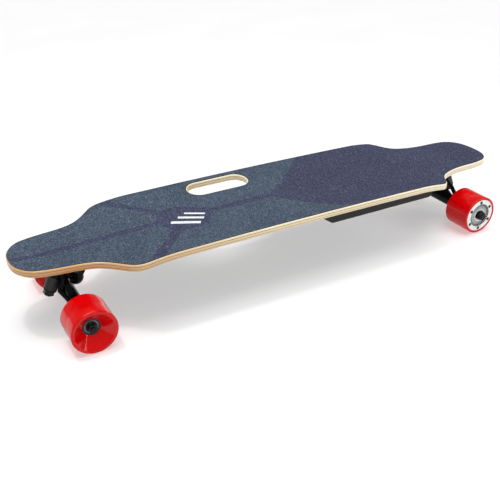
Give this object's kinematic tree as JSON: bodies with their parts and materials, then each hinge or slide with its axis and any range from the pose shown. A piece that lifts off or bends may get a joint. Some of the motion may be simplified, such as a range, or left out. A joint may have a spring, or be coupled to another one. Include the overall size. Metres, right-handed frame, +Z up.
{
  "type": "electric skateboard",
  "caption": "Low electric longboard: cut-away plywood deck with gritted top and carrying slot, tilting trucks, urethane front wheels, hub-motor rear wheels, slim battery housing below.",
  "frame": {"origin": "on the floor, midway between the nose and the tail, under the centreline", "axes": "+X toward the nose, +Y to the rider's left, +Z up"},
  "size_m": [0.926, 0.257, 0.1266],
  "materials": {
    "deck_wood": "clear-coated maple ply, pale plies with darker glue lines",
    "grip": "coarse mineral grit, slate blue with navy bands",
    "red_urethane": "glossy cast urethane",
    "black_core": "satin moulded nylon",
    "truck_black": "satin black powder coat",
    "bushing_black": "cast urethane",
    "riser_rubber": "matte",
    "black_steel": "black oxide",
    "steel": "bright zinc",
    "bearing_steel": "pressed shield",
    "cover_white": "white powder coat",
    "motor_alloy": "turned",
    "magnet_nickel": "nickel plate",
    "laminations": "stacked sheet",
    "copper": "enamelled winding",
    "housing_black": "fine moulded grain",
    "foam": "closed-cell foam",
    "cell_wrap": "heat-shrink sleeve",
    "frame_plastic": "moulded",
    "nickel": "strip",
    "board_green": "solder mask",
    "parts_black": "moulded packages",
    "alloy": "extruded",
    "soft_black": "moulded"
  },
  "bodies": {
    "board": {"deck": "deck_wood", "grip_tape": "grip", "riser_pads": "riser_rubber", "front_baseplate": "truck_black", "rear_baseplate": "truck_black", "pivot_cups": "bushing_black", "kingpins": "steel", "kingpin_washers": "black_steel", "kingpin_nuts": "black_steel", "front_bushings": "bushing_black", "rear_bushings": "bushing_black", "truck_bolts": "black_steel", "truck_bolt_nuts": "steel", "enclosure_shell": "housing_black", "enclosure_gasket": "foam", "enclosure_screws": "black_steel", "battery_cells": "cell_wrap", "battery_frame": "frame_plastic", "battery_links": "nickel", "battery_board": "board_green", "cooling_plate": "alloy", "cooling_plate_screws": "steel", "controller_board": "board_green", "controller_parts": "parts_black", "cable_gland": "soft_black", "charge_socket": "parts_black", "power_switch": "parts_black"},
    "power_button": {"power_button": "soft_black"},
    "charge_cap": {"charge_cap": "soft_black"},
    "front_hanger": {"front_hanger": "truck_black", "front_axle": "steel", "front_axle_washers": "steel", "front_axle_nuts": "black_steel"},
    "rear_hanger": {"rear_hanger": "truck_black", "motor_axles": "black_steel", "motor_axle_nuts": "black_steel", "rear_left_stator": "laminations", "rear_right_stator": "laminations", "motor_windings": "copper"},
    "front_left_wheel": {"front_left_tyre": "red_urethane", "front_left_core": "black_core", "front_left_bearings": "bearing_steel", "front_left_spacer": "steel"},
    "rear_left_wheel": {"rear_left_sleeve": "red_urethane", "rear_left_rotor": "motor_alloy", "rear_left_magnets": "magnet_nickel", "rear_left_cover": "cover_white", "rear_left_cover_screws": "black_steel", "rear_left_bearings": "bearing_steel"},
    "front_right_wheel": {"front_right_tyre": "red_urethane", "front_right_core": "black_core", "front_right_bearings": "bearing_steel", "front_right_spacer": "steel"},
    "rear_right_wheel": {"rear_right_sleeve": "red_urethane", "rear_right_rotor": "motor_alloy", "rear_right_magnets": "magnet_nickel", "rear_right_cover": "cover_white", "rear_right_cover_screws": "black_steel", "rear_right_bearings": "bearing_steel"}
  },
  "joints": [
    {"name": "front_steer", "type": "hinge", "parent": "board", "child": "front_hanger", "pos_m": [0.39425, 0, 0.07502], "axis": [0.8829, 0, 0.4695], "range_deg": [-15, 15], "stiffness_Nm_per_rad": 28, "deforming": ["front_bushings"]},
    {"name": "rear_steer", "type": "hinge", "parent": "board", "child": "rear_hanger", "pos_m": [-0.39425, 0, 0.07502], "axis": [0.8829, 0, -0.4695], "range_deg": [-15, 15], "stiffness_Nm_per_rad": 28, "deforming": ["rear_bushings"]},
    {"name": "front_left_spin", "type": "hinge", "parent": "front_hanger", "child": "front_left_wheel", "pos_m": [0.3795, 0.1, 0.036], "axis": [0, 1, 0], "continuous": true},
    {"name": "rear_left_spin", "type": "hinge", "parent": "rear_hanger", "child": "rear_left_wheel", "pos_m": [-0.3795, 0.093, 0.036], "axis": [0, 1, 0], "continuous": true},
    {"name": "front_right_spin", "type": "hinge", "parent": "front_hanger", "child": "front_right_wheel", "pos_m": [0.3795, -0.1, 0.036], "axis": [0, 1, 0], "continuous": true},
    {"name": "rear_right_spin", "type": "hinge", "parent": "rear_hanger", "child": "rear_right_wheel", "pos_m": [-0.3795, -0.093, 0.036], "axis": [0, 1, 0], "continuous": true},
    {"name": "power_press", "type": "slide", "parent": "board", "child": "power_button", "axis": [0, 1, 0], "range_m": [0, 0.0012], "stiffness_N_per_m": 400, "springref_m": -0.0012},
    {"name": "charge_cap_open", "type": "hinge", "parent": "board", "child": "charge_cap", "pos_m": [-0.112, -0.0852, 0.1034], "axis": [-1, 0, 0], "range_deg": [0, 85]}
  ]
}
